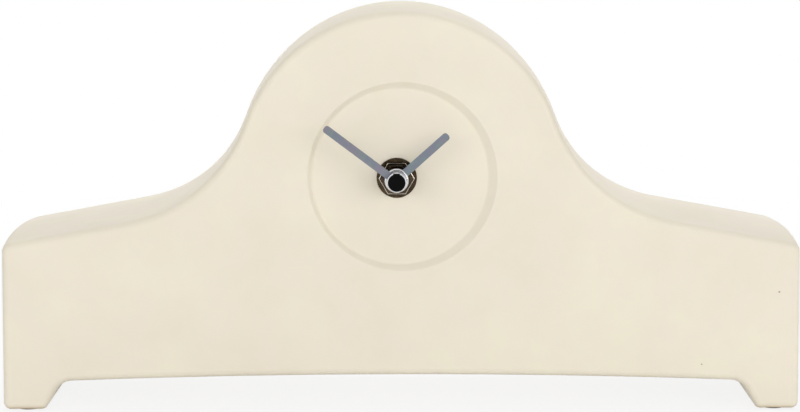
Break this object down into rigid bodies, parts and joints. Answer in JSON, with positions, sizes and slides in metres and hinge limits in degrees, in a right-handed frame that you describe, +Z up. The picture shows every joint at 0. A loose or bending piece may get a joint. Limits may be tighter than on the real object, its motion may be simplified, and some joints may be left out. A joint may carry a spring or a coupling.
{
  "type": "tambour mantel clock",
  "caption": "Cream ceramic tambour mantel clock with a sunk round dial, two plain hands and a quartz movement in its open back.",
  "frame": {"origin": "on the surface that the clock stands on, under the middle of its bounding box", "axes": "+X to the right of a person who faces the dial, -Y out of the dial towards that person, +Z up"},
  "size_m": [0.29, 0.0898, 0.1458],
  "materials": {
    "ceramic": "satin",
    "pad_rubber": "matt",
    "gasket_rubber": "matt",
    "bronzed_steel": "polished dark bronze",
    "polished_chrome": "polished",
    "grey_hands": "satin",
    "black_plastic": "fine grain",
    "white_plastic": "moulded",
    "rotor_brass": "turned",
    "magnet_metal": "sintered",
    "stator_steel": "stamped",
    "copper_wire": "enamelled wire",
    "board_green": "lacquered board",
    "chip_resin": "gloss",
    "cell_steel": "nickel plated",
    "cell_wrap": "gloss"
  },
  "bodies": {
    "case": {"case_shell": "ceramic", "foot_pads": "pad_rubber", "movement_gasket": "gasket_rubber", "shaft_washer": "bronzed_steel", "hex_nut": "bronzed_steel", "threaded_bushing": "bronzed_steel", "movement_base": "black_plastic", "movement_cover": "black_plastic", "train_bridge": "white_plastic", "stator": "stator_steel", "coil_core": "stator_steel", "coil_bobbin": "white_plastic", "coil_winding": "copper_wire", "circuit_board": "board_green", "chip_cover": "chip_resin", "crystal_can": "stator_steel", "contact_positive": "cell_steel", "contact_negative": "cell_steel"},
    "minute": {"minute_arbor": "rotor_brass", "minute_collet": "polished_chrome", "minute_hand": "grey_hands", "hand_cap": "black_plastic"},
    "hour": {"hour_wheel": "white_plastic", "hour_collet": "polished_chrome", "hour_hand": "grey_hands"},
    "motion": {"motion_wheel": "white_plastic"},
    "setting": {"setting_knob": "black_plastic"},
    "seconds": {"seconds_wheel": "white_plastic"},
    "third": {"third_wheel": "white_plastic"},
    "centre": {"centre_wheel": "white_plastic"},
    "step": {"step_wheel": "white_plastic"},
    "rotor": {"rotor_pinion": "rotor_brass", "rotor_magnet": "magnet_metal"},
    "battery": {"battery_can": "cell_steel", "battery_sleeve": "cell_wrap"}
  },
  "joints": [
    {"name": "minute_turn", "type": "hinge", "parent": "case", "child": "minute", "pos_m": [-0.00135, -0.0226, 0.0849], "axis": [0, 1, 0], "continuous": true},
    {"name": "hour_turn", "type": "hinge", "parent": "case", "child": "hour", "pos_m": [-0.00135, -0.0226, 0.0849], "axis": [0, 1, 0], "continuous": true},
    {"name": "motion_turn", "type": "hinge", "parent": "case", "child": "motion", "pos_m": [0.0024, -0.0226, 0.0914], "axis": [0, 1, 0], "continuous": true},
    {"name": "setting_turn", "type": "hinge", "parent": "case", "child": "setting", "pos_m": [0.0089, -0.0226, 0.09515], "axis": [0, 1, 0], "continuous": true},
    {"name": "rotor_turn", "type": "hinge", "parent": "case", "child": "rotor", "pos_m": [-0.01278, -0.0226, 0.09045], "axis": [0, 1, 0], "continuous": true},
    {"name": "step_turn", "type": "hinge", "parent": "case", "child": "step", "pos_m": [-0.00785, -0.0226, 0.08865], "axis": [0, 1, 0], "continuous": true},
    {"name": "seconds_turn", "type": "hinge", "parent": "case", "child": "seconds", "pos_m": [-0.00135, -0.0226, 0.0849], "axis": [0, 1, 0], "continuous": true},
    {"name": "third_turn", "type": "hinge", "parent": "case", "child": "third", "pos_m": [0.00574, -0.0226, 0.08615], "axis": [0, 1, 0], "continuous": true},
    {"name": "centre_turn", "type": "hinge", "parent": "case", "child": "centre", "pos_m": [-0.00135, -0.0226, 0.0849], "axis": [0, 1, 0], "continuous": true},
    {"name": "battery_slide", "type": "slide", "parent": "case", "child": "battery", "axis": [0, 1, 0], "range_m": [0, 0.03]}
  ],
  "couplings": [
    {"joint": "hour_turn", "follows": "minute_turn", "ratio": 0.083333},
    {"joint": "motion_turn", "follows": "minute_turn", "ratio": -0.33333},
    {"joint": "setting_turn", "follows": "minute_turn", "ratio": 1},
    {"joint": "step_turn", "follows": "rotor_turn", "ratio": -0.16667},
    {"joint": "seconds_turn", "follows": "rotor_turn", "ratio": 0.033333},
    {"joint": "third_turn", "follows": "rotor_turn", "ratio": -0.0044444},
    {"joint": "centre_turn", "follows": "rotor_turn", "ratio": 0.00055556}
  ]
}
